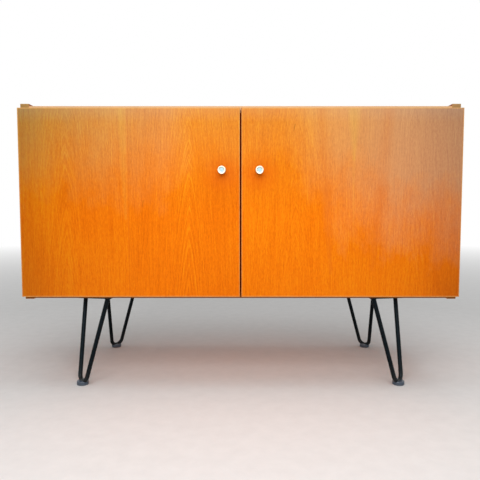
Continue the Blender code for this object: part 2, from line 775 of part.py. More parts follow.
def leg_mesh():
    """A plate with rounded corners and three screw holes, and the bent rod welded under it."""
    half = ROD_SPREAD / 2
    corners = ((PLATE_REACH, 0), (0, half), (0, -half))
    discs = [
        point for centre in corners for point in arc(centre, PLATE_CORNER_RADIUS, 0, 360, HOLE_STEPS)
    ]
    low = PLATE_TOP_Z - PLATE_THICKNESS
    plate = prism(hull(discs), low, PLATE_TOP_Z)
    holes = [
        cylinder(
            place.to_3d() + UP * (low - OVERRUN),
            place.to_3d() + UP * (PLATE_TOP_Z + OVERRUN),
            LEG_SCREW_RADIUS + SEAT,
        )
        for place in screw_plan()
    ]
    return cut(joined(plate, [welded_rod()]), holes)


def pad_mesh():
    """A snap-on pad: a turned puck with a channel that closes over the rod's bend."""
    radius = ROD_RADIUS + PAD_WALL
    height = PAD_BASE + SEAT + ROD_RADIUS * 2 * PAD_GRIP_SHARE
    shoulder = arc((radius - PAD_SHOULDER, height - PAD_SHOULDER), PAD_SHOULDER, 0, 90)
    puck = turned(
        [
            (0, 0),
            (radius - PAD_FOOT_CHAMFER, 0),
            (radius, PAD_FOOT_CHAMFER),
            *shoulder,
            (0, height),
        ]
    )
    puck.transform(Matrix.Translation((LEG_LEAN, 0, 0)))
    return cut(puck, [bent_bar(rod_points(), ROD_RADIUS + SEAT)])


def make_legs(black, plastic, steel):
    leg, pad = leg_mesh(), pad_mesh()
    pad.transform(Matrix.Translation((-LEG_LEAN, 0, 0)))
    screw = screw_mesh(
        LEG_SCREW_RADIUS,
        LEG_SCREW_BITE + PLATE_THICKNESS + SEAT + SEAT,
        LEG_SCREW_HEAD_RADIUS,
        LEG_SCREW_HEAD_HEIGHT,
    )
    head_z = PLATE_TOP_Z - PLATE_THICKNESS - SEAT
    for name, (turn, centre) in leg_places().items():
        placed(f"{name}_leg", leg, black, centre.to_3d(), (0, 0, turn))
        foot = centre + Matrix.Rotation(turn, 2) @ Vector((LEG_LEAN, 0))
        placed(f"{name}_pad", pad, plastic, foot.to_3d(), (0, 0, turn))
        for number, place in enumerate(screw_places(turn, centre), 1):
            spot = place.to_3d() + UP * head_z
            placed(f"{name}_leg_screw_{number}", screw, steel, spot, facing(-UP))


# The whole credenza


def clear_scene():
    for obj in list(bpy.data.objects):
        bpy.data.objects.remove(obj)


def build():
    clear_scene()
    teak = material("teak_veneer", (0.84, 0.2, 0.01), 0.42)
    board = material("back_board", (0.30, 0.15, 0.06), 0.7)
    black = material("black_steel", (0.012, 0.012, 0.014), 0.4)
    grey = material("pad_plastic", (0.05, 0.06, 0.075), 0.55)
    alloy = material("knob_alloy", (0.86, 0.85, 0.82), 0.28, 1)
    brass = material("hinge_brass", (0.66, 0.48, 0.20), 0.35, 1)
    steel = material("screw_steel", (0.55, 0.55, 0.56), 0.35, 1)
    white = material("catch_plastic", (0.70, 0.68, 0.62), 0.5)

    make_top(teak)
    make_bottom(teak)
    make_divider(teak)
    make_back(board)
    shelf_pin, knob, strike = shelf_pin_mesh(), knob_mesh(), strike_mesh()
    knob_screw = screw_mesh(
        KNOB_SCREW_RADIUS,
        SEAT + DOOR_THICKNESS + SEAT + KNOB_SCREW_BITE,
        KNOB_SCREW_HEAD_RADIUS,
        KNOB_SCREW_HEAD_HEIGHT,
    )
    for word, side in SIDES.items():
        make_side(word, side, teak)
        make_shelf(word, side, teak)
        make_shelf_pins(word, side, shelf_pin, steel)
        axis = make_axis(word, side)
        make_door(word, side, teak, axis)
        make_hinges(word, side, brass, steel, axis)
        make_knob(word, side, knob, knob_screw, alloy, steel, axis)
        make_catch(word, side, white)
        make_strike(word, side, strike, steel, axis)
    make_legs(black, grey, steel)


build()
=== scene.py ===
"""The looks of the credenza: veneer, paint and metal, fine hardware, floor, lights, camera.

Metres, +Z up, the doors face -Y, in the same frame as the solids. Colours are linear.
"""

import json
import math
from collections import namedtuple

import bmesh
import bpy
from mathutils import Matrix, Vector

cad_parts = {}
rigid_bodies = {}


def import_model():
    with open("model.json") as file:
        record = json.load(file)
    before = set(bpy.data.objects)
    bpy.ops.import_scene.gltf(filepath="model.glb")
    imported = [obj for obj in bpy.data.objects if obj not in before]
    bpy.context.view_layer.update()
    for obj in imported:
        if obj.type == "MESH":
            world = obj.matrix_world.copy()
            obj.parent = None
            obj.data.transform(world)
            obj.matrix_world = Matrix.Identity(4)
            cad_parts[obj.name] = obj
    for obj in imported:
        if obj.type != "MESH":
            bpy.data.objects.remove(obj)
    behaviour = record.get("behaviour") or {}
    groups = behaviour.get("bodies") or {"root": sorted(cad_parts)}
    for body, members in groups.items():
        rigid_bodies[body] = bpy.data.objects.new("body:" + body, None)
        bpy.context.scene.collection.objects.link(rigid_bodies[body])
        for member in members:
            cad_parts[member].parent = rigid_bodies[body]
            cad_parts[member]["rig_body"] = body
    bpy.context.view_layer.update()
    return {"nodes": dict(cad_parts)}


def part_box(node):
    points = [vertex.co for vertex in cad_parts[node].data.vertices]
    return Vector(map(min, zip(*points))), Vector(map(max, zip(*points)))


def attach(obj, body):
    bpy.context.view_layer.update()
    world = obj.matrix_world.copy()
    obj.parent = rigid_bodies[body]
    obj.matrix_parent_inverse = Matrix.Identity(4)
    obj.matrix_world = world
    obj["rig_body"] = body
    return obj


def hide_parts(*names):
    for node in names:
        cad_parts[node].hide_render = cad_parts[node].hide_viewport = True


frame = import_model()

AXES = "XYZ"

# The photograph's camera
EYE = (-0.0017, -1.5428, 0.5053)
TILT_DOWN = math.radians(3.65)
LENS_MM = 36.375
SENSOR_MM = 36

# The range that most of a noise lies in
NOISE_RANGE = (0.3, 0.7)

# How much of a normal lies along the axis that its face looks along
FACING = 0.7

# Flattens a vector onto the plane of the doors
FLAT = (1, 0, 1)

# Veneer: dark, middle and light wood, the tones that show them, and the open pores with their
# share, their noise's scale and the part of that noise that they show in
TEAK = ((0.70, 0.112, 0.001), (0.90, 0.192, 0.001), (0.97, 0.310, 0.003))
TONE_STOPS = (0.2, 0.5, 0.8)
MIDDLE_TONE = 0.5
PORE = (0.50, 0.070, 0.001)
PORE_SHARE = 0.35
PORE_SCALE = (1500, 1500, 55)
PORE_RANGE = (0.62, 0.72)

# Growth rings, drawn out into arches: how fast the cut rises through the log and where it
# starts, how pointed the arches are, how much they sway along and across, how far rings wobble
ARCH_SLOPE = 0.14
ARCH_FOOT = -0.03
ARCH_POWER = 1.3
SWAY_SCALE = (7, 7, 1.6)
SWAY_ALONG = 0.02
SWAY_ACROSS = 0.04
WOBBLE_SCALE = (38, 38, 5)
RING_WOBBLE = 0.003

# The ridge of each ring: distance between ridges, unevenness, the part of its wave that shows,
# its share in the tone, and how that fades from near the figure's middle to further off
RIDGE_STEP = 0.0066
RIDGE_UNEVEN = 8
RIDGE_WAVE = (0.2, 0.95)
RIDGE_SHARE = 0.13
ARCH_REACH = (0.01, 0.07)
ARCH_FADE = (1, 0.2)

# Lines that follow the rings: frequency, detail, roughness
RING_LINES = {"broad": (230, 1, 0.5), "fine": (900, 2, 0.6)}

# Noises of the wood: scale across, through and along the fibres, detail, roughness
WOOD_NOISES = {
    "streak": ((150, 150, 3), 4, 0.66),
    "thread": ((330, 330, 9), 3, 0.6),
    "dash": ((300, 300, 110), 3, 0.7),
    "fibre": ((700, 700, 34), 2, 0.5),
    "cloud": ((5, 5, 3), 2, 0.5),
}

# How much each of these lines and noises moves the tone
TONE_SHARES = {
    "broad": 0.12, "fine": 0.22, "streak": 0.26, "thread": 0.36, "dash": 0.56, "fibre": 0.34,
    "cloud": 0.3,
}

# Brightness of the painted sheen, faded wood and inner wood at the darkest and the lightest tone
BRIGHTNESS = (0.72, 1.22)

# Surface of the veneer: specular level from dark to light wood and its tint, roughness from
# streak to streak, how much duller the top panel is, and how high fibres stand next to the
# depth of a pore
SHINE = (0.12, 0.28)
SHINE_TONES = (0.25, 0.75)
SHINE_TINT = (1, 0.6, 0.25)
VENEER_ROUGHNESS = (0.34, 0.46)
DULL_TOP = 0.16
FIBRE_RELIEF = 0.4

# Leaves of veneer on the doors: where each starts, where its figure runs, its tone, and how
# much its arches show
DOOR_LEAVES = {
    "left_door": ((-0.6, -0.474, 0.02, 1.0), (-0.3065, -0.140, -0.03, 1.4)),
    "right_door": ((0.0, 0.150, -0.01, 0.45), (0.3245, 0.469, -0.02, 0.45)),
}

# A seed for each leaf of a board, and how far apart the seeds set the leaves in the wood
LEAF_SEEDS = (3 / 29, 10 / 29)
SEED_SHIFT = 9

# Leaves of the other boards: where across a leaf its figure runs, its tone and its arches
EVEN_FIGURE = 0.56
EVEN_TONE = 0.03
EVEN_ARCHES = 0.6

# The other boards: the axes that their broad faces look along, and their fibres run along
BOARDS = {
    "left_side_panel": ("X", "Z"),
    "right_side_panel": ("X", "Z"),
    "centre_divider": ("X", "Z"),
    "top_panel": ("Z", "X"),
    "bottom_panel": ("Z", "X"),
    "left_shelf": ("Z", "X"),
    "right_shelf": ("Z", "X"),
}

# Edges of boards: colour at the bottom, colour at the top, share, and the pale along the corners,
# partly wear and partly a painted highlight
PALE_WEAR_AND_HIGHLIGHT = (0.74, 0.39, 0.13)
PLAIN_EDGE = (PALE_WEAR_AND_HIGHLIGHT, PALE_WEAR_AND_HIGHLIGHT, 0.35, 0.85)
# The dark narrow faces of the bottom panel, the side panels' narrow faces darker toward the bottom,
# and the divider's darker front edge are painted shade under the cabinet and in the seam
EDGES = {
    "top_panel": ((0.66, 0.46, 0.26), (0.66, 0.46, 0.26), 0.85, 0.0),
    "bottom_panel": ((0.16, 0.050, 0.010), (0.16, 0.050, 0.010), 0.85, 0.2),
    "centre_divider": ((0.46, 0.21, 0.055), (0.46, 0.21, 0.055), 0.5, 0.2),
    "left_side_panel": ((0.20, 0.070, 0.012), (0.30, 0.190, 0.065), 0.9, 0.2),
    "right_side_panel": ((0.20, 0.070, 0.012), (0.30, 0.190, 0.080), 0.9, 0.2),
}

# How far from a board's corners the pale wear and painted highlight is full and where it ends, and
# how much it changes from place to place
WEAR_AND_HIGHLIGHT_BAND = (0.0008, 0.0038)
WEAR_AND_HIGHLIGHT_PATCHES = (0.5, 1.0)

# Marks in the doors' veneer, broken up from streak to streak. Each has its kind, its two ends
# (X, Z), its half widths there and its strength
MARK_STREAKS = (0.35, 0.65)
MARK_SHARES = (0.5, 1.0)
MARK_COLOURS = {
    "dark": (0.74, 0.145, 0.012),
    "pale": (0.92, 0.520, 0.060),
    "fleck": (0.20, 0.028, 0.001),
}
MARKS = {
    "left_door": (
        ("fleck", (-0.2645, 0.528), (-0.2665, 0.512), 0.0018, 0.0012, 0.7),
        ("dark", (-0.3050, 0.790), (-0.3050, 0.250), 0.0024, 0.0016, 0.35),
        ("pale", (-0.3215, 0.790), (-0.3125, 0.480), 0.0150, 0.0060, 0.22),
    ),
    "right_door": (
        ("fleck", (0.1465, 0.733), (0.1425, 0.714), 0.0018, 0.0012, 0.7),
        ("dark", (0.2165, 0.790), (0.2300, 0.554), 0.0190, 0.0190, 0.42),
        ("dark", (0.2300, 0.554), (0.2470, 0.330), 0.0190, 0.0060, 0.42),
        ("pale", (0.3060, 0.820), (0.3060, 0.640), 0.0300, 0.0060, 0.34),
        ("pale", (0.3060, 0.640), (0.3070, 0.400), 0.0060, 0.0020, 0.14),
        ("dark", (0.4000, 0.790), (0.3800, 0.554), 0.0230, 0.0230, 0.26),
        ("dark", (0.3800, 0.554), (0.3600, 0.340), 0.0230, 0.0080, 0.36),
    ),
}

# Painted shade round the knobs: a painted shadow below each knob, darker and redder and partly
# handled wood, and a painted contact shadow round its foot: how far below the knob its middle is,
# radius up to where it is full, radius where it ends, share, colour
KNOB_SHADOWS_AND_HANDLING = (
    (0.010, 0.012, 0.060, 0.55, (0.84, 0.120, 0.001)),
    (0, 0.008, 0.013, 0.7, (0.060, 0.032, 0.002)),
)

# The painted sheen on the doors' upper part, pale in patches: place across (X), height where it
# starts, share, colour
UPPER_SHEEN = (
    (-0.60, 0.600, 0.50, (0.46, 0.30, 0.09)),
    (-0.49, 0.640, 0.44, (0.52, 0.35, 0.11)),
    (-0.37, 0.595, 0.38, (0.60, 0.40, 0.14)),
    (-0.20, 0.610, 0.32, (0.70, 0.39, 0.16)),
    (-0.12, 0.690, 0.25, (0.80, 0.46, 0.11)),
    (0.12, 0.700, 0.25, (0.80, 0.46, 0.11)),
    (0.25, 0.525, 0.36, (0.74, 0.45, 0.19)),
    (0.43, 0.450, 0.50, (0.60, 0.42, 0.24)),
    (0.60, 0.435, 0.58, (0.48, 0.35, 0.22)),
)

# Its lower border: how ragged it is, and from where to where round that height it fades in
UPPER_SHEEN_RAGGED = 0.28
UPPER_SHEEN_FADE = (-0.10, 0.17)

# Painted shade: how much the doors darken toward their outer edges: place across (X), colour
OUTER_SHADE = (
    (-0.60, (0.64, 0.66, 0.7)),
    (-0.515, (0.79, 0.81, 0.8)),
    (-0.44, (0.88, 0.88, 0.9)),
    (-0.20, (1.0, 1.0, 1.0)),
    (0.20, (0.99, 1.0, 1.0)),
    (0.45, (0.90, 0.90, 0.9)),
    (0.60, (0.76, 0.76, 0.8)),
)

# Painted shade: how much they darken toward the top, on the left and on the right, and toward the
# lower right corner, and the painted sheen at the top, each with the places (X) and heights (Z)
# between which it sets in
UPPER_SHADE = ((0.73, 0.92, 1.0), (0.79, 0.92, 1.0))
UPPER_PLACES = (0.2, 0.45)
UPPER_HEIGHTS = (0.48, 0.79)
CORNER_SHADE = (0.84, 0.80, 0.7)
CORNER_PLACES = (0.50, 0.59)
CORNER_HEIGHTS = (0.28, 0.40)
TOP_SHEEN = (0, 0.036, 0.042)
TOP_SHEEN_HEIGHTS = (0.738, 0.785)

# Outside faces of the carcass that the sun has faded: share at the bottom, share at the top,
# and how much these change from patch to patch
FADED = {
    "top_panel": (0.5, 0.5), "left_side_panel": (0.06, 0.5), "right_side_panel": (0.10, 0.58),
}
FADED_WOOD = (0.50, 0.34, 0.16)
FADED_PATCHES = (0.6, 1.2)

# Inside faces, which the sun hasn't reached
INNER_SHARE = 0.4
INNER_WOOD = (0.46, 0.21, 0.055)

# The painted shade in the seam between the doors: its colour, distance from the middle (X) where it
# is full and where it ends, depth behind the board's front where it is full and where it has faded,
# how strong it is there, and its share in the colour
SEAM_SHADE = (0.190, 0.001, 0.0)
SEAM_SHADE_BANDS = {
    "left_door": (0.0024, 0.0026), "right_door": (0.0024, 0.0026), "centre_divider": (0.003, 0.007),
}
SEAM_SHADE_DEPTHS = (0.003, 0.011)
SEAM_SHADE_SHARES = (1, 0.3)
SEAM_SHADE_SHARE = 0.9

# The shaded strip of the side panels' inner faces above the top panel
SHADED = (0.150, 0.050, 0.022)
SHADED_SHARE = 0.8

# Sizes that the fine hardware shares with the solids
KNOB_RADIUS = 0.011
KNOB_LENGTH = 0.0235
KNOB_DISH_RADIUS = 0.0062
KNOB_DISH_DEPTH = 0.0014
ROD_SPREAD = 0.127
ROD_LEAN = 0.049
PLATE_THICKNESS = 0.004
LEG_TURNS = {"front_left": -135, "front_right": -45, "rear_left": 135, "rear_right": 45}

# The rest of the knob: radius of the neck and the foot, height where the waist starts, height
# of the head, and how round the rim is
KNOB_NECK = 0.0055
KNOB_FOOT = 0.0052
KNOB_WAIST = 0.008
KNOB_HEAD = 0.006
KNOB_RIM_ROUND = 0.0016

# Screws: radius and length of the shank, radius and height of the head
Screw = namedtuple("Screw", "shank length head height")
KNOB_SCREW = Screw(0.002, 0.0306, 0.004, 0.0014)
LEG_SCREW = Screw(0.0022, 0.0176, 0.0046, 0.0028)
CATCH_SCREW = Screw(0.0015, 0.004, 0.0032, 0.0014)

# Countersunk screws: radius and height of the head
LEAF_SCREW = (0.0034, 0.001)
STRIKE_SCREW = (0.0019, 0.0009)

# A screw's thread as shares of the shank's radius: the tip, the pitch, and radius and height of
# the points of one turn
TIP_SHARE = 0.4
PITCH_SHARE = 0.9
THREAD_SHARES = ((0.78, 0.1), (1, 0.5), (0.78, 0.9))

# A cross recess as shares of the head: reach, width, depth, top, and how it narrows downwards
ROUND_CROSS = (0.52, 0.24, 0.8, 1.2)
FLAT_CROSS = (0.6, 0.26, 0.7, 1)
CROSS_TAPER = (0.35, 0.6)

# A nail of the back panel as (radius, height) points, and how far from the edge the nails are
NAIL = ((0, -0.001), (0.0019, -0.001), (0.0019, -0.0001), (0.0016, 0.00005), (0, 0.00012))
NAIL_INSET = 0.005

# A weld bead round a rod: radius to its middle, its own radius, how much its ripples swell, how
# many there are, and how far under the plate its middle is
WELD_RADIUS = 0.0078
WELD_MINOR = 0.0019
WELD_SWELL = 0.16
WELD_RIPPLES = 18
WELD_DROP = 0.0009

# How finely round things are drawn, and the angle in degrees from where an edge stays sharp
KNOB_STEPS = 48
SCREW_STEPS = 32
NAIL_STEPS = 20
WELD_STEPS = (72, 10)
SMOOTH_DEGREES = 35
WELD_DEGREES = 60

WHITE = (1, 1, 1, 1)
WORLD_STRENGTH = 0.36


# Meshes


def smoothed(mesh, degrees=SMOOTH_DEGREES):
    mesh.shade_smooth()
    mesh.set_sharp_from_angle(angle=math.radians(degrees))
    return mesh


def finished(bm, degrees=SMOOTH_DEGREES):
    bmesh.ops.recalc_face_normals(bm, faces=bm.faces)
    mesh = bpy.data.meshes.new("piece")
    bm.to_mesh(mesh)
    bm.free()
    return smoothed(mesh, degrees)


def turned(profile, steps):
    """A solid of revolution about Z, from (radius, height) points that begin and end on it."""
    bm = bmesh.new()
    chain = [bm.verts.new((radius, 0, height)) for radius, height in profile]
    edges = [bm.edges.new(pair) for pair in zip(chain, chain[1:])]
    bmesh.ops.spin(
        bm, geom=chain + edges, cent=(0, 0, 0), axis=(0, 0, 1), angle=math.tau,
        steps=steps, use_merge=True,
    )
    bmesh.ops.remove_doubles(bm, verts=bm.verts, dist=1e-7)
    return finished(bm)


def arc(centre, radius, start, end, steps):
    """Points of an arc in a plane, between two angles in degrees."""
    angles = [math.radians(start + (end - start) * step / steps) for step in range(steps + 1)]
    return [(centre[0] + radius * math.cos(a), centre[1] + radius * math.sin(a)) for a in angles]


def cross_cutter(reach, width, depth, top):
    """A cross recess as a cutter: two crossed wedges that narrow downwards."""
    narrow_x, narrow_y = CROSS_TAPER
    bm = bmesh.new()
    for turn in (0, 90):
        made = bmesh.ops.create_cube(bm, size=1)["verts"]
        for vert in made:
            x, y = vert.co.x * 2 * reach, vert.co.y * width
            upper = vert.co.z > 0
            vert.co = (x, y, top) if upper else (x * narrow_x, y * narrow_y, top - depth)
        bmesh.ops.rotate(
            bm, verts=made, cent=(0, 0, 0), matrix=Matrix.Rotation(math.radians(turn), 3, "Z")
        )
    return finished(bm)


def cut(mesh, cutter):
    """The mesh less the cutter."""
    body, tool = bpy.data.objects.new("body", mesh), bpy.data.objects.new("tool", cutter)
    for obj in (body, tool):
        bpy.context.scene.collection.objects.link(obj)
    step = body.modifiers.new("cut", "BOOLEAN")
    step.operation, step.solver, step.object, step.use_self = "DIFFERENCE", "EXACT", tool, True
    graph = bpy.context.evaluated_depsgraph_get()
    result = bpy.data.meshes.new_from_object(body.evaluated_get(graph))
    for obj in (body, tool):
        bpy.data.objects.remove(obj)
    return smoothed(result)


def joined(meshes):
    """One mesh from (mesh, matrix) pairs."""
    bm = bmesh.new()
    for mesh, matrix in meshes:
        copy = mesh.copy()
        copy.transform(matrix)
        bm.from_mesh(copy)
        bpy.data.meshes.remove(copy)
    return finished(bm)


def seated(place, direction, turn=0):
    """The matrix that sets a mesh's origin at a place and turns its +Z to a direction, after a
    turn about it in degrees."""
    aim = Vector(direction).to_track_quat("Z", "Y").to_matrix().to_4x4()
    return Matrix.Translation(place) @ aim @ Matrix.Rotation(math.radians(turn), 4, "Z")


def piece(name, mesh, matrix, body, finish, replaced=None):
    """A visible piece, in place and riding on its body."""
    obj = bpy.data.objects.new(name, mesh)
    bpy.context.scene.collection.objects.link(obj)
    obj.matrix_world = matrix
    obj.data.materials.append(finish)
    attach(obj, body)
    if replaced:
        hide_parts(replaced)


# Shader nodes


class Nodes:
    """A material's node tree, with short calls for the nodes that the finishes use."""

    def __init__(self, name):
        self.material = bpy.data.materials.new(name)
        self.material.use_nodes = True
        self.tree = self.material.node_tree
        self.shader = self.tree.nodes["Principled BSDF"]
        coordinates = self.tree.nodes.new("ShaderNodeTexCoord")
        self.place = coordinates.outputs["Object"]
        self.normal = coordinates.outputs["Normal"]

    def feed(self, socket, value):
        if isinstance(value, bpy.types.NodeSocket):
            self.tree.links.new(value, socket)
        elif socket.type == "RGBA" and len(value) == 3:
            socket.default_value = (*value, 1)
        else:
            socket.default_value = value

    def add(self, kind, inputs, **settings):
        node = self.tree.nodes.new(kind)
        for name, value in settings.items():
            setattr(node, name, value)
        for key, value in inputs.items():
            self.feed(node.inputs[key], value)
        return node

    def math(self, operation, *values):
        return self.add("ShaderNodeMath", dict(enumerate(values)), operation=operation).outputs[0]

    def vector(self, operation, *values):
        made = self.add("ShaderNodeVectorMath", dict(enumerate(values)), operation=operation)
        return made.outputs["Value" if operation in ("LENGTH", "DOT_PRODUCT") else "Vector"]

    def scaled(self, vector, factor):
        """A vector or a colour times a number."""
        made = self.add("ShaderNodeVectorMath", {0: vector, "Scale": factor}, operation="SCALE")
        return made.outputs[0]

    def split(self, vector):
        return dict(zip(AXES, self.add("ShaderNodeSeparateXYZ", {0: vector}).outputs))

    def combine(self, *values):
        return self.add("ShaderNodeCombineXYZ", dict(enumerate(values))).outputs[0]

    def reach(self, centre):
        """How far a point is from a centre, seen from the front."""
        offset = self.vector("SUBTRACT", self.place, centre)
        return self.vector("LENGTH", self.vector("MULTIPLY", offset, FLAT))

    def blend(self, share, one, other):
        """A number between two numbers."""
        return self.add("ShaderNodeMix", {0: share, 2: one, 3: other}, data_type="FLOAT").outputs[0]

    def mix(self, share, one, other, how="MIX"):
        """A colour between two colours."""
        inputs = {0: share, 6: one, 7: other}
        return self.add("ShaderNodeMix", inputs, data_type="RGBA", blend_type=how).outputs[2]

    def map(self, value, low, high, to_low=0.0, to_high=1.0):
        inputs = {0: value, 1: low, 2: high, 3: to_low, 4: to_high}
        return self.add("ShaderNodeMapRange", inputs, clamp=True).outputs[0]

    def ramp(self, value, stops, interpolation="LINEAR"):
        made = self.add("ShaderNodeValToRGB", {0: value})
        ramp = made.color_ramp
        ramp.interpolation = interpolation
        while len(ramp.elements) < len(stops):
            ramp.elements.new(1)
        for element, (position, colour) in zip(ramp.elements, stops):
            element.position, element.color = position, (*colour, 1)[:4]
        return made.outputs[0]

    def spread(self, noise, low, high):
        """A number that follows a noise from one value to another."""
        return self.map(noise, *NOISE_RANGE, low, high)

    def tint(self, noise, dark, light):
        """A colour that follows a noise from one colour to another."""
        return self.ramp(noise, list(zip(NOISE_RANGE, (dark, light))))

    def noise(self, vector, scale=1.0, detail=2.0, roughness=0.5):
        """Noise over a vector. The scale is a number, or one for each axis."""
        if not isinstance(scale, (int, float)):
            vector, scale = self.vector("MULTIPLY", vector, scale), 1
        inputs = {"Vector": vector, "Scale": scale, "Detail": detail, "Roughness": roughness}
        return self.add("ShaderNodeTexNoise", inputs).outputs[0]

    def lines(self, value, detail=2.0, roughness=0.5):
        """Noise over one number."""
        inputs = {"W": value, "Scale": 1, "Detail": detail, "Roughness": roughness}
        return self.add("ShaderNodeTexNoise", inputs, noise_dimensions="1D").outputs[0]

    def dusty(self, colour, heights, shares, scale, dust):
        """The colour with specks of dust, whose share changes between two heights."""
        share = self.map(self.split(self.place)["Z"], *heights, *shares)
        specks = self.noise(self.place, scale, detail=4, roughness=0.7)
        return self.mix(self.math("MULTIPLY", share, specks), colour, dust)

    def bump(self, height, strength, distance):
        inputs = {"Height": height, "Strength": strength, "Distance": distance}
        self.feed(self.shader.inputs["Normal"], self.add("ShaderNodeBump", inputs).outputs[0])

    def surface(self, **inputs):
        for name, value in inputs.items():
            self.feed(self.shader.inputs[name.replace("_", " ")], value)
        return self.material


# Veneer


class Veneer(Nodes):
    """Teak veneer on one board. The fibres run along one axis, and the broad faces look along
    another. Each method that takes a colour returns it with one more thing that the wood shows, or
    with painted light or shade."""

    def __init__(self, board, faces, along):
        super().__init__(f"teak_{board}")
        self.board, self.faces, self.along = board, faces, along
        self.across = next(axis for axis in AXES if axis not in (faces, along))
        self.low, self.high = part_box(board)
        index = AXES.index(self.across)
        self.start, self.stop = self.low[index], self.high[index]
        self.width = self.stop - self.start
        self.door = board.endswith("_door")
        self.at, self.facing = self.split(self.place), self.split(self.normal)

    def even_leaves(self):
        """Leaves of equal width across the board, each with its figure off its middle."""
        step = self.width / len(LEAF_SEEDS)
        return [
            (
                self.start + step * i, self.start + step * (i + EVEN_FIGURE),
                EVEN_TONE * (-1) ** i, EVEN_ARCHES,
            )
            for i in range(len(LEAF_SEEDS))
        ]

    def leaf_values(self, side, leaves):
        """A leaf's own values: where its figure runs, its tone, its seed, and how much its
        arches show."""
        stops = [
            (
                max(0.0, (begin - self.start) / self.width),
                ((figure - self.start) / self.width, MIDDLE_TONE + tone, seed, arches),
            )
            for (begin, figure, tone, arches), seed in zip(leaves, LEAF_SEEDS)
        ]
        leaf = self.ramp(self.map(side, self.start, self.stop), stops, "CONSTANT")
        figure, tone, seed = self.add("ShaderNodeSeparateColor", {0: leaf}).outputs
        figure = self.math("MULTIPLY_ADD", figure, self.width, self.start)
        return figure, tone, seed, leaf.node.outputs["Alpha"]

    def growth_ring(self, wood, off, run):
        """Which growth ring a point is in, and its distance across from the figure's middle."""
        sway = self.math("SUBTRACT", self.noise(wood, SWAY_SCALE), 0.5)
        rise = self.math("MULTIPLY_ADD", run, ARCH_SLOPE, ARCH_FOOT)
        rise = self.math("MULTIPLY_ADD", sway, SWAY_ALONG, rise)
        off = self.math("MULTIPLY_ADD", sway, SWAY_ACROSS, off)
        powers = [
            self.math("POWER", self.math("ABSOLUTE", part), ARCH_POWER) for part in (off, rise)
        ]
        ring = self.math("POWER", self.math("ADD", *powers), 1 / ARCH_POWER)
        wobble = self.noise(wood, WOBBLE_SCALE, detail=3)
        return self.math("MULTIPLY_ADD", wobble, RING_WOBBLE, ring), off

    def grain(self, leaves):
        """The wood's tone, the lines and noises that it is made of, and the open pores."""
        end = self.math("GREATER_THAN", self.math("ABSOLUTE", self.facing[self.along]), FACING)
        side = self.blend(end, self.at[self.across], self.at[self.along])
        run = self.blend(end, self.at[self.along], self.at[self.across])
        figure, tone, seed, arches = self.leaf_values(side, leaves)
        through = self.math("MULTIPLY_ADD", seed, SEED_SHIFT, self.at[self.faces])
        wood = self.combine(side, through, run)

        ring, off = self.growth_ring(wood, self.math("SUBTRACT", side, figure), run)
        ring = self.math("ADD", ring, seed)
        parts = {
            name: self.lines(self.math("MULTIPLY", ring, frequency), *settings)
            for name, (frequency, *settings) in RING_LINES.items()
        }
        parts |= {name: self.noise(wood, *settings) for name, settings in WOOD_NOISES.items()}

        near = self.map(self.math("ABSOLUTE", off), *ARCH_REACH, *ARCH_FADE)
        arches = self.math("MULTIPLY", near, arches)
        uneven = self.math("MULTIPLY", parts["broad"], RIDGE_UNEVEN)
        beat = self.math("MULTIPLY_ADD", ring, math.tau / RIDGE_STEP, uneven)
        ridge = self.map(self.math("SINE", beat), *RIDGE_WAVE)
        tone = self.math("MULTIPLY_ADD", self.math("MULTIPLY", ridge, arches), RIDGE_SHARE, tone)
        for name, share in TONE_SHARES.items():
            tone = self.math("MULTIPLY_ADD", self.math("SUBTRACT", parts[name], 0.5), share, tone)
        pore = self.map(self.noise(wood, PORE_SCALE, detail=1), *PORE_RANGE)
        return tone, parts, pore

    def by_place(self, rows):
        """A colour that changes across (X), from (place, colour) rows."""
        left, right = rows[0][0], rows[-1][0]
        stops = [((x - left) / (right - left), colour) for x, colour in rows]
        return self.ramp(self.map(self.at["X"], left, right), stops)

    def painted_sheen(self, colour, brightness):
        """Painted sheen on the doors' upper part, pale in soft patches."""
        levels = self.by_place([(x, (height, share, 0)) for x, height, share, _ in UPPER_SHEEN])
        height, share, _ = self.add("ShaderNodeSeparateColor", {0: levels}).outputs
        pale = self.scaled(self.by_place([(x, pale) for x, _, _, pale in UPPER_SHEEN]), brightness)
        patch = self.noise(self.place, scale=(13, 13, 7), detail=4, roughness=0.7)
        above = self.math("SUBTRACT", self.at["Z"], height)
        patch = self.math("SUBTRACT", patch, 0.5)
        above = self.math("MULTIPLY_ADD", patch, UPPER_SHEEN_RAGGED, above)
        share = self.math("MULTIPLY", self.map(above, *UPPER_SHEEN_FADE), share)
        return self.mix(share, colour, pale)

    def mark(self, start, end, half_start, half_end, strength):
        """The share of a mark along a line in the XZ plane, which tapers from end to end."""
        start, end = Vector((start[0], 0, start[1])), Vector((end[0], 0, end[1]))
        run = end - start
        offset = self.vector("SUBTRACT", self.vector("MULTIPLY", self.place, FLAT), start)
        along = self.map(self.vector("DOT_PRODUCT", offset, run), 0, run.length_squared)
        foot = self.scaled(run, along)
        distance = self.vector("LENGTH", self.vector("SUBTRACT", offset, foot))
        return self.map(distance, 0, self.blend(along, half_start, half_end), strength, 0)

    def marked(self, colour, streak):
        """The door's marks, broken up by the streaks."""
        broken = self.map(streak, *MARK_STREAKS, *MARK_SHARES)
        for kind, *line in MARKS[self.board]:
            share = self.math("MULTIPLY", self.mark(*line), broken)
            colour = self.mix(share, colour, MARK_COLOURS[kind])
        return colour

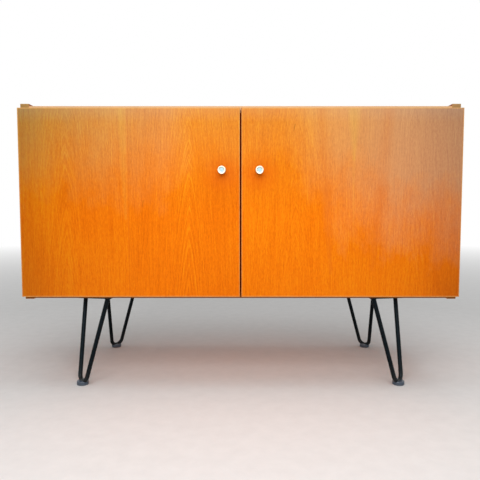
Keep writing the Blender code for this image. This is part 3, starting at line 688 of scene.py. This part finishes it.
    def knob_shadows(self, colour):
        """A painted shadow below the door's knob, darker and redder and partly handled wood, and a
        painted contact shadow round the knob's foot.
        """
        low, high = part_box(self.board.replace("door", "knob"))
        for drop, near, far, share, shadow_tint in KNOB_SHADOWS_AND_HANDLING:
            reach = self.reach((low + high) / 2 - Vector((0, 0, drop)))
            colour = self.mix(self.map(reach, near, far, share, 0), colour, shadow_tint)
        return colour

    def door_shade(self, colour):
        """Painted shade on the doors' sides, top and lower right corner, and a painted sheen at the
        top.
        """
        x, z = self.at["X"], self.at["Z"]
        upper = self.mix(self.map(x, *UPPER_PLACES), *UPPER_SHADE)
        shade = self.mix(self.map(z, *UPPER_HEIGHTS), self.by_place(OUTER_SHADE), upper, "MULTIPLY")
        low = self.map(z, *CORNER_HEIGHTS, 1, 0)
        corner = self.math("MULTIPLY", self.map(x, *CORNER_PLACES), low)
        shade = self.mix(corner, shade, CORNER_SHADE, "MULTIPLY")
        colour = self.vector("MULTIPLY", colour, shade)
        return self.mix(self.map(z, *TOP_SHEEN_HEIGHTS), colour, TOP_SHEEN, "ADD")

    def outside(self):
        """1 on faces that don't look into the cabinet, and 0 on faces that do."""
        if not self.door and self.board not in FADED:
            return 0
        sign = -1 if self.door or self.board.startswith("left") else 1
        outward = self.math("MULTIPLY", self.facing[self.faces], sign)
        return self.math("GREATER_THAN", outward, -FACING)

    def aged(self, colour, brightness):
        """Sun-faded wood on the carcass's outside, and less faded wood inside."""
        outside = self.outside()
        if self.board in FADED:
            patch = self.noise(self.place, scale=5, detail=4, roughness=0.6)
            share = self.map(self.at["Z"], self.low.z, self.high.z, *FADED[self.board])
            share = self.math("MULTIPLY", share, self.spread(patch, *FADED_PATCHES))
            share = self.math("MULTIPLY", outside, share)
            colour = self.mix(share, colour, self.scaled(FADED_WOOD, brightness))
        inside = self.math("MULTIPLY", self.math("SUBTRACT", 1, outside), INNER_SHARE)
        return self.mix(inside, colour, self.scaled(INNER_WOOD, brightness))

    def edge_distance(self):
        """How far a point on the board's surface is from the nearest edge of the board."""
        centre, half = (self.low + self.high) / 2, (self.high - self.low) / 2
        offset = self.vector("ABSOLUTE", self.vector("SUBTRACT", self.place, centre))
        x, y, z = self.split(self.vector("SUBTRACT", half, offset)).values()
        inner = self.math("MINIMUM", self.math("MAXIMUM", x, y), z)
        return self.math("MAXIMUM", self.math("MINIMUM", x, y), inner)

    def edged(self, colour):
        """The board's narrow faces, some darkened with painted shade, and its corners pale, partly
        from wear and partly as a painted highlight.
        """
        lower, upper, share, worn = EDGES.get(self.board, PLAIN_EDGE)
        narrow = self.math("LESS_THAN", self.math("ABSOLUTE", self.facing[self.faces]), FACING)
        edge = self.mix(self.map(self.at["Z"], self.low.z, self.high.z), lower, upper)
        colour = self.mix(self.math("MULTIPLY", narrow, share), colour, edge)
        rub = self.spread(self.noise(self.place, scale=90, detail=3), *WEAR_AND_HIGHLIGHT_PATCHES)
        wear_and_highlight = self.map(self.edge_distance(), *WEAR_AND_HIGHLIGHT_BAND, worn, 0)
        return self.mix(self.math("MULTIPLY", wear_and_highlight, rub), colour, PALE_WEAR_AND_HIGHLIGHT)

    def seam(self):
        """The share of the painted shade in the seam between the doors."""
        near = self.map(self.math("ABSOLUTE", self.at["X"]), *SEAM_SHADE_BANDS[self.board], 1, 0)
        depths = [self.low.y + depth for depth in SEAM_SHADE_DEPTHS]
        return self.math("MULTIPLY", near, self.map(self.at["Y"], *depths, *SEAM_SHADE_SHARES))

    def shaded_strip(self, colour):
        """The shade on a side panel's inner face above the top panel."""
        sign = 1 if self.board.startswith("left") else -1
        inward = self.math("MULTIPLY", self.facing["X"], sign)
        above = self.math("GREATER_THAN", self.at["Z"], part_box("top_panel")[1].z)
        strip = self.math("MINIMUM", self.math("GREATER_THAN", inward, FACING), above)
        return self.mix(self.math("MULTIPLY", strip, SHADED_SHARE), colour, SHADED)

    def finish(self, leaves):
        """The material, for a board with these leaves of veneer."""
        tone, parts, pore = self.grain(leaves)
        colour = self.ramp(tone, list(zip(TONE_STOPS, TEAK)))
        colour = self.mix(self.math("MULTIPLY", pore, PORE_SHARE), colour, PORE)
        brightness = self.map(tone, TONE_STOPS[0], TONE_STOPS[-1], *BRIGHTNESS)
        # On the doors: painted sheen on the upper part, painted shadows round the knobs, and
        # painted shade toward the sides, top and lower right corner
        if self.door:
            colour = self.painted_sheen(colour, brightness)
            colour = self.marked(colour, parts["streak"])
            colour = self.door_shade(self.knob_shadows(colour))
        colour = self.edged(self.aged(colour, brightness))
        shine = self.map(tone, *SHINE_TONES, *SHINE)
        # Painted shade in the seam between the doors
        if self.board in SEAM_SHADE_BANDS:
            seam = self.seam()
            colour = self.mix(self.math("MULTIPLY", seam, SEAM_SHADE_SHARE), colour, SEAM_SHADE)
            shine = self.math("MULTIPLY", shine, self.math("SUBTRACT", 1, seam))
        if self.board.endswith("side_panel"):
            colour = self.shaded_strip(colour)
        dull = DULL_TOP if self.board == "top_panel" else 0
        rough = self.spread(parts["streak"], *[value + dull for value in VENEER_ROUGHNESS])
        relief = self.math("SUBTRACT", self.math("MULTIPLY", parts["fibre"], FIBRE_RELIEF), pore)
        self.bump(relief, strength=0.15, distance=0.0002)
        return self.surface(
            Base_Color=colour, Roughness=rough, Specular_IOR_Level=shine, Specular_Tint=SHINE_TINT
        )


# Other finishes


def backing_board():
    """Brown board: pressed fibres in all directions, a little darker in patches."""
    nodes = Nodes("back_board_fibre")
    fibre = nodes.noise(nodes.place, scale=(900, 900, 420), detail=3, roughness=0.6)
    patch = nodes.noise(nodes.place, scale=9, detail=3)
    tone = nodes.math("MULTIPLY_ADD", patch, 0.5, nodes.math("MULTIPLY", fibre, 0.5))
    dark, middle, light = (0.14, 0.062, 0.024), (0.24, 0.115, 0.045), (0.33, 0.17, 0.075)
    colour = nodes.ramp(tone, [(0.3, dark), (0.5, middle), (0.7, light)])
    nodes.bump(fibre, strength=0.2, distance=0.0002)
    return nodes.surface(Base_Color=colour, Roughness=nodes.spread(patch, 0.6, 0.75))


def black_paint():
    """Satin black paint on steel, with floor dust low down and thin places that shine; the bluish
    black and the blue tint of its reflections are a painted sky sheen.
    """
    nodes = Nodes("black_steel_paint")
    patch = nodes.noise(nodes.place, scale=40, detail=4, roughness=0.6)
    # The bluish black and the blue specular tint below are a painted sky sheen
    colour = nodes.tint(patch, dark=(0.001, 0.002, 0.003), light=(0.004, 0.006, 0.008))
    colour = nodes.dusty(
        colour, heights=(0, 0.07), shares=(0.22, 0.01), scale=260, dust=(0.16, 0.15, 0.14)
    )
    nodes.bump(nodes.noise(nodes.place, scale=1100), strength=0.06, distance=0.0001)
    return nodes.surface(
        Base_Color=colour, Roughness=nodes.spread(patch, 0.2, 0.34), Specular_IOR_Level=0.12,
        Specular_Tint=(0.6, 0.85, 1),
    )


def pad_plastic():
    """Dark moulded plastic, painted a lighter blue-grey for a sky sheen, scuffed where it meets the
    floor.
    """
    nodes = Nodes("pad_plastic_moulded")
    grain = nodes.noise(nodes.place, scale=700, detail=3, roughness=0.6)
    # The blue-grey, lighter than the black plastic, is a painted sky sheen
    colour = nodes.tint(grain, dark=(0.042, 0.058, 0.084), light=(0.072, 0.096, 0.134))
    colour = nodes.dusty(
        colour, heights=(0.0005, 0.004), shares=(0.9, 0), scale=220, dust=(0.20, 0.19, 0.18)
    )
    nodes.bump(grain, strength=0.12, distance=0.0001)
    return nodes.surface(Base_Color=colour, Roughness=nodes.spread(grain, 0.18, 0.30))


def catch_plastic():
    """Off-white moulded plastic, a little yellowed."""
    nodes = Nodes("catch_plastic_moulded")
    patch = nodes.noise(nodes.place, scale=60, detail=3)
    grain = nodes.noise(nodes.place, scale=1200)
    colour = nodes.tint(patch, dark=(0.60, 0.56, 0.46), light=(0.74, 0.71, 0.62))
    nodes.bump(grain, strength=0.1, distance=0.0001)
    return nodes.surface(Base_Color=colour, Roughness=nodes.spread(grain, 0.42, 0.55))


def knob_metal(name, centre):
    """Turned light metal: fine rings round the axis, a cream rim, and a dish tinted pale blue as a
    painted sky reflection.
    """
    nodes = Nodes(name)
    radius = nodes.reach(centre)
    rings = nodes.lines(nodes.math("MULTIPLY", radius, 5200), roughness=0.6)
    border = 0.0002
    dish = nodes.map(radius, KNOB_DISH_RADIUS - border, KNOB_DISH_RADIUS + border, 1, 0)
    # The dish's pale blue is a painted sky reflection
    cream, painted_sky_blue, dulled = (0.70, 0.64, 0.50), (0.62, 0.87, 0.96), (0.62, 0.60, 0.56)
    smudge = nodes.map(nodes.noise(nodes.place, scale=420, detail=3), 0.45, 0.75, 0, 0.25)
    colour = nodes.mix(smudge, nodes.mix(dish, cream, painted_sky_blue), dulled)
    nodes.bump(nodes.blend(dish, rings, 0.5), strength=0.04, distance=0.0001)
    rough = nodes.math("ADD", nodes.blend(dish, 0.30, 0.07), nodes.spread(rings, -0.03, 0.03))
    return nodes.surface(Base_Color=colour, Metallic=1.0, Roughness=rough)


def worn_metal(name, dark, light, rough):
    """Bare metal with smudges and fine scratches."""
    nodes = Nodes(name)
    smudge = nodes.noise(nodes.place, scale=160, detail=4, roughness=0.6)
    scratch = nodes.noise(nodes.place, scale=(900, 900, 120), detail=3, roughness=0.7)
    tone = nodes.math("MULTIPLY_ADD", smudge, 0.6, nodes.math("MULTIPLY", scratch, 0.4))
    nodes.bump(scratch, strength=0.08, distance=0.0001)
    return nodes.surface(
        Base_Color=nodes.tint(smudge, dark, light), Metallic=1.0,
        Roughness=nodes.spread(tone, rough - 0.07, rough + 0.1),
    )


def dress(name, finish):
    """Gives a solid its finish, and shades its round faces smooth."""
    obj = frame["nodes"][name]
    obj.data.materials.clear()
    obj.data.materials.append(finish)
    if "custom_normal" in obj.data.attributes:
        obj.data.attributes.remove(obj.data.attributes["custom_normal"])
    obj.data.shade_smooth()
    weld = obj.modifiers.new("weld", "WELD")
    weld.merge_threshold = 0.00001
    crease = obj.modifiers.new("crease", "EDGE_SPLIT")
    crease.split_angle = math.radians(SMOOTH_DEGREES)


def dress_boards():
    for name, (faces, along) in BOARDS.items():
        veneer = Veneer(name, faces, along)
        dress(name, veneer.finish(veneer.even_leaves()))
    for name, leaves in DOOR_LEAVES.items():
        dress(name, Veneer(name, "Y", "Z").finish(leaves))


def dress_hardware(black, brass, steel):
    pad, catch = pad_plastic(), catch_plastic()
    dress("back_panel", backing_board())
    for name in frame["nodes"]:
        if name.endswith("_leg"):
            dress(name, black)
        elif name.endswith("_pad"):
            dress(name, pad)
        elif name.endswith("_catch"):
            dress(name, catch)
        elif name.endswith("_leaf"):
            dress(name, brass)
        elif "_pin" in name or name.endswith("_strike_plate"):
            dress(name, steel)


# Fine hardware


def knob_mesh():
    """The knob along Z: a waisted neck on a small foot, a thick round rim and a sunk face."""
    collar, head = KNOB_NECK + 0.0004, KNOB_LENGTH - KNOB_HEAD
    foot = [(0, 0), (KNOB_FOOT, 0), (collar, 0.0004), (collar, 0.0016), (KNOB_NECK, 0.002)]
    waist = [
        (
            KNOB_NECK + (KNOB_RADIUS - KNOB_NECK) * (1 - across),
            KNOB_WAIST + (head - KNOB_WAIST) * up,
        )
        for across, up in arc((0, 0), 1, 0, 90, steps=12)
    ]
    crown = KNOB_RADIUS - KNOB_RIM_ROUND
    rim = arc((crown, KNOB_LENGTH - KNOB_RIM_ROUND), KNOB_RIM_ROUND, 0, 90, steps=8)
    face = KNOB_LENGTH - KNOB_DISH_DEPTH
    dish = [
        (crown + (crown - KNOB_DISH_RADIUS) * across, face + KNOB_DISH_DEPTH * up)
        for across, up in arc((0, 0), 1, 90, 180, steps=12)[1:]
    ]
    dish += [(KNOB_DISH_RADIUS * share, face) for share in (0.97, 0.9, 0.5, 0)]
    return turned(foot + waist + rim + dish, KNOB_STEPS)


def crossed(mesh, radius, height, shares):
    """A screw with a cross recess in its head."""
    reach, width, depth, top = shares
    return cut(mesh, cross_cutter(radius * reach, radius * width, height * depth, height * top))


def round_screw(size):
    """A round-headed screw along Z, whose seat is at zero."""
    shank, length, head, height = size
    dome = [(head * x, height * z) for x, z in arc((0, 0), 1, 0, 90, steps=8)]
    thread = [(0, -length), (shank * TIP_SHARE, shank - length)]
    pitch = shank * PITCH_SHARE
    for turn in range(int((length - 2 * shank) / pitch)):
        z = shank - length + pitch * turn
        thread += [(shank * wide, z + pitch * up) for wide, up in THREAD_SHARES]
    return crossed(turned([*thread, (shank, 0), *dome], SCREW_STEPS), head, height, ROUND_CROSS)


def flush_screw(radius, height):
    """The flat head of a countersunk screw along Z, whose top is at zero."""
    bevel_height, bevel_width = 0.0001, 0.0002
    profile = [
        (0, -height), (radius, -height), (radius, -bevel_height), (radius - bevel_width, 0), (0, 0)
    ]
    return crossed(turned(profile, SCREW_STEPS), radius, height, FLAT_CROSS)


def add_knobs(steel):
    mesh = knob_mesh()
    long_screw = round_screw(KNOB_SCREW)
    for word in ("left", "right"):
        low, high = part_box(f"{word}_knob")
        centre = (low + high) / 2
        made = mesh.copy()
        made.transform(seated((centre.x, high.y, centre.z), (0, -1, 0)))
        metal = knob_metal(f"{word}_knob_metal", centre)
        piece(
            f"{word}_turned_knob", made, Matrix(), f"{word}_door", metal,
            f"{word}_knob",
        )
        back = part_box(f"{word}_knob_screw")[1].y
        seat = seated((centre.x, back - KNOB_SCREW.height, centre.z), (0, 1, 0))
        piece(
            f"{word}_cross_screw", long_screw.copy(), seat, f"{word}_door", steel,
            f"{word}_knob_screw",
        )


def screw_turn(name):
    """How far a screw is turned, in degrees, worked out from its name."""
    return 37 * (sum(ord(letter) * (i + 1) for i, letter in enumerate(name)) % 9)


def add_leg_screws(steel):
    mesh = round_screw(LEG_SCREW)
    for name in [n for n in frame["nodes"] if "_leg_screw_" in n]:
        low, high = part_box(name)
        centre = (low + high) / 2
        place = (centre.x, centre.y, low.z + LEG_SCREW.height)
        piece(
            name.replace("leg_screw", "cross_screw"), mesh.copy(),
            seated(place, (0, 0, -1), screw_turn(name)), "carcass", steel, name,
        )


def add_leaf_screws(brass):
    """Three countersunk screws in each hinge leaf, where its plate is clear of the eyes."""
    head = flush_screw(*LEAF_SCREW)
    spacing, proud = 0.022, 0.00015
    from_middle, from_back, from_inner = 0.0035, 0.002, 0.011
    for name in [n for n in frame["nodes"] if n.endswith("_leaf")]:
        low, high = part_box(name)
        left = name.startswith("left")
        outward = -1 if left else 1
        if "carcass" in name:
            x, y = (low.x + high.x) / 2 - outward * from_middle, high.y - from_back
            facing = (0, -1, 0)
        else:
            x, y = (high.x if left else low.x) + outward * from_inner, high.y
            facing = (0, 1, 0)
        middle, lift = (low.z + high.z) / 2, Vector(facing) * proud
        heads = [
            (head, seated(Vector((x, y, middle + dz)) + lift, facing, 23 + 900 * dz))
            for dz in (-spacing, 0, spacing)
        ]
        body = frame["nodes"][name]["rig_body"]
        piece(f"{name}_screws", joined(heads), Matrix(), body, brass)


def pole_plates(low, high):
    """The two steel plates that stick out of a magnetic catch."""
    shorter, depth, thickness, from_front = 0.0204, 0.004, 0.0011, 0.0019
    bm = bmesh.new()
    for up in (0.0028, 0.0082):
        made = bmesh.ops.create_cube(bm, size=1)["verts"]
        bmesh.ops.scale(bm, vec=(high.x - low.x - shorter, depth, thickness), verts=made)
        centre = ((low.x + high.x) / 2, low.y + from_front, low.z + up)
        bmesh.ops.translate(bm, vec=centre, verts=made)
    bmesh.ops.bevel(bm, geom=bm.edges[:], offset=0.0002, segments=2, affect="EDGES")
    return finished(bm)


def add_catch_parts(steel, dark):
    """The catches' screws and pole plates, and the strike plates' screws."""
    head = round_screw(CATCH_SCREW)
    plug = flush_screw(*STRIKE_SCREW)
    from_end, sunk, plug_sunk = 0.0045, 0.002, 0.0001
    for word in ("left", "right"):
        low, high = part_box(f"{word}_magnetic_catch")
        y = (low.y + high.y) / 2
        heads = [
            (head, seated((x, y, high.z - sunk), (0, 0, -1)))
            for x in (low.x + from_end, high.x - from_end)
        ]
        piece(f"{word}_catch_screws", joined(heads), Matrix(), "carcass", steel)
        poles = pole_plates(low, high)
        piece(f"{word}_catch_poles", poles, Matrix(), "carcass", dark)
        low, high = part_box(f"{word}_strike_plate")
        place = ((low.x + high.x) / 2, high.y - plug_sunk, (low.z + high.z) / 2)
        mesh = plug.copy()
        mesh.transform(seated(place, (0, 1, 0)))
        piece(f"{word}_strike_screw", mesh, Matrix(), f"{word}_door", steel)


def weld_bead():
    """A ring round a rod, laid in ripples."""
    around, ring = WELD_STEPS
    bm = bmesh.new()
    rows = []
    for i in range(around):
        a = math.tau * i / around
        swell = WELD_MINOR * (1 + WELD_SWELL * abs(math.sin(WELD_RIPPLES * a / 2)))
        rows.append([
            bm.verts.new((
                (WELD_RADIUS + swell * math.cos(b)) * math.cos(a),
                (WELD_RADIUS + swell * math.cos(b)) * math.sin(a),
                swell * math.sin(b),
            ))
            for b in (math.tau * j / ring for j in range(ring))
        ])
    for i in range(around):
        for j in range(ring):
            one, two = rows[i], rows[(i + 1) % around]
            bm.faces.new((one[j], two[j], two[(j + 1) % ring], one[(j + 1) % ring]))
    return finished(bm, WELD_DEGREES)


def add_welds(black):
    """The beads where the rods meet their plates, inward of the pads by the rods' lean."""
    bead = weld_bead()
    for name, turn in LEG_TURNS.items():
        height = Vector((0, 0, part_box(f"{name}_leg")[1].z - PLATE_THICKNESS - WELD_DROP))
        low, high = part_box(f"{name}_pad")
        foot = (low + high) / 2
        out = Vector((math.cos(math.radians(turn)), math.sin(math.radians(turn)), 0))
        across = Vector((-out.y, out.x, 0))
        centre = Vector((foot.x, foot.y, 0)) - out * ROD_LEAN
        rings = [
            (bead, Matrix.Translation(centre + across * side * ROD_SPREAD / 2 + height))
            for side in (-1, 1)
        ]
        piece(f"{name}_welds", joined(rings), Matrix(), "carcass", black)


def nail_places(low, high, count):
    """Evenly spaced places from near one edge to near the other."""
    run = high - low - 2 * NAIL_INSET
    return [low + NAIL_INSET + run * i / (count - 1) for i in range(count)]


def add_back_nails(steel):
    """Small nails round the back panel and down its middle."""
    low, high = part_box("back_panel")
    xs, zs = nail_places(low.x, high.x, 11), nail_places(low.z, high.z, 6)
    spots = [(x, z) for x in xs for z in (zs[0], zs[-1])]
    spots += [(x, z) for x in (xs[0], 0.0, xs[-1]) for z in zs[1:-1]]
    head = turned(NAIL, NAIL_STEPS)
    nails = [(head, seated((x, high.y, z), (0, 1, 0))) for x, z in spots]
    piece("back_panel_nails", joined(nails), Matrix(), "carcass", steel)


# Floor, light and camera


def make_floor():
    """A plain pale floor that fades to white far out."""
    bm = bmesh.new()
    bmesh.ops.create_circle(bm, cap_ends=True, segments=96, radius=40)
    floor = bpy.data.objects.new("floor", finished(bm))
    nodes = Nodes("floor_pale")
    grain = nodes.noise(nodes.place, scale=26, detail=4, roughness=0.6)
    colour = nodes.tint(grain, dark=(0.74, 0.74, 0.735), light=(0.78, 0.78, 0.775))
    nodes.surface(Base_Color=colour, Roughness=0.8, Specular_IOR_Level=0.2)
    rays = nodes.add("ShaderNodeLightPath", {})
    seen = nodes.math("MAXIMUM", rays.outputs["Is Camera Ray"], rays.outputs["Is Glossy Ray"])
    seen = nodes.math("MAXIMUM", seen, rays.outputs["Is Transmission Ray"])
    plain_up_to, white_from = 1.4, 6.0
    far = nodes.map(nodes.vector("LENGTH", nodes.place), plain_up_to, white_from)
    glow = nodes.add("ShaderNodeEmission", {"Color": WHITE, "Strength": 1.0}).outputs[0]
    share = nodes.math("MULTIPLY", far, seen)
    shown = nodes.add("ShaderNodeMixShader", {0: share, 1: nodes.shader.outputs[0], 2: glow})
    output = next(n for n in nodes.tree.nodes if n.type == "OUTPUT_MATERIAL")
    nodes.tree.links.new(shown.outputs[0], output.inputs["Surface"])
    floor.data.materials.append(nodes.material)
    bpy.context.scene.collection.objects.link(floor)


def make_world():
    """Even light all round; the camera, and what shines, see plain white."""
    world = bpy.data.worlds.new("studio")
    world.use_nodes = True
    tree = world.node_tree
    background = tree.nodes["Background"]
    background.inputs["Color"].default_value = WHITE
    background.inputs["Strength"].default_value = WORLD_STRENGTH
    white = tree.nodes.new("ShaderNodeBackground")
    white.inputs["Color"].default_value = WHITE
    rays = tree.nodes.new("ShaderNodeLightPath")
    shown = tree.nodes.new("ShaderNodeMixShader")
    seen = rays.outputs["Is Camera Ray"]
    for kind in ("Is Glossy Ray", "Is Transmission Ray"):
        either = tree.nodes.new("ShaderNodeMath")
        either.operation = "MAXIMUM"
        tree.links.new(seen, either.inputs[0])
        tree.links.new(rays.outputs[kind], either.inputs[1])
        seen = either.outputs[0]
    tree.links.new(seen, shown.inputs[0])
    tree.links.new(background.outputs[0], shown.inputs[1])
    tree.links.new(white.outputs[0], shown.inputs[2])
    tree.links.new(shown.outputs[0], tree.nodes["World Output"].inputs["Surface"])
    bpy.context.scene.world = world


def make_light(name, place, target, size, power):
    light = bpy.data.lights.new(name, "AREA")
    light.shape, light.size, light.size_y, light.energy = "RECTANGLE", *size, power
    lamp = bpy.data.objects.new(name, light)
    lamp.location = place
    lamp.rotation_euler = (Vector(place) - Vector(target)).to_track_quat("Z", "Y").to_euler()
    bpy.context.scene.collection.objects.link(lamp)


def make_camera():
    camera = bpy.data.objects.new("camera", bpy.data.cameras.new("camera"))
    camera.data.lens, camera.data.sensor_width = LENS_MM, SENSOR_MM
    camera.location = EYE
    camera.rotation_euler = (math.pi / 2 - TILT_DOWN, 0, 0)
    bpy.context.scene.collection.objects.link(camera)
    bpy.context.scene.camera = camera


def build():
    brass = worn_metal("hinge_brass_worn", (0.62, 0.43, 0.17), (0.74, 0.55, 0.25), rough=0.34)
    steel = worn_metal("zinc_steel", (0.50, 0.50, 0.49), (0.62, 0.62, 0.63), rough=0.36)
    dark = worn_metal("pole_steel", (0.20, 0.20, 0.21), (0.30, 0.30, 0.31), rough=0.4)
    black = black_paint()
    dress_boards()
    dress_hardware(black, brass, steel)
    add_knobs(steel)
    add_leg_screws(steel)
    add_leaf_screws(brass)
    add_catch_parts(steel, dark)
    add_welds(black)
    add_back_nails(steel)
    make_floor()
    make_world()
    make_light("softbox", (-0.1, -1.75, 1.4), target=(0, -0.2, 0.55), size=(1.9, 1.2), power=26)
    make_light("top_fill", (0.3, -0.4, 3.2), target=(0, 0, 0.6), size=(2.4, 2.4), power=34)
    make_camera()
    bpy.context.scene.view_settings.view_transform = "Standard"


build()
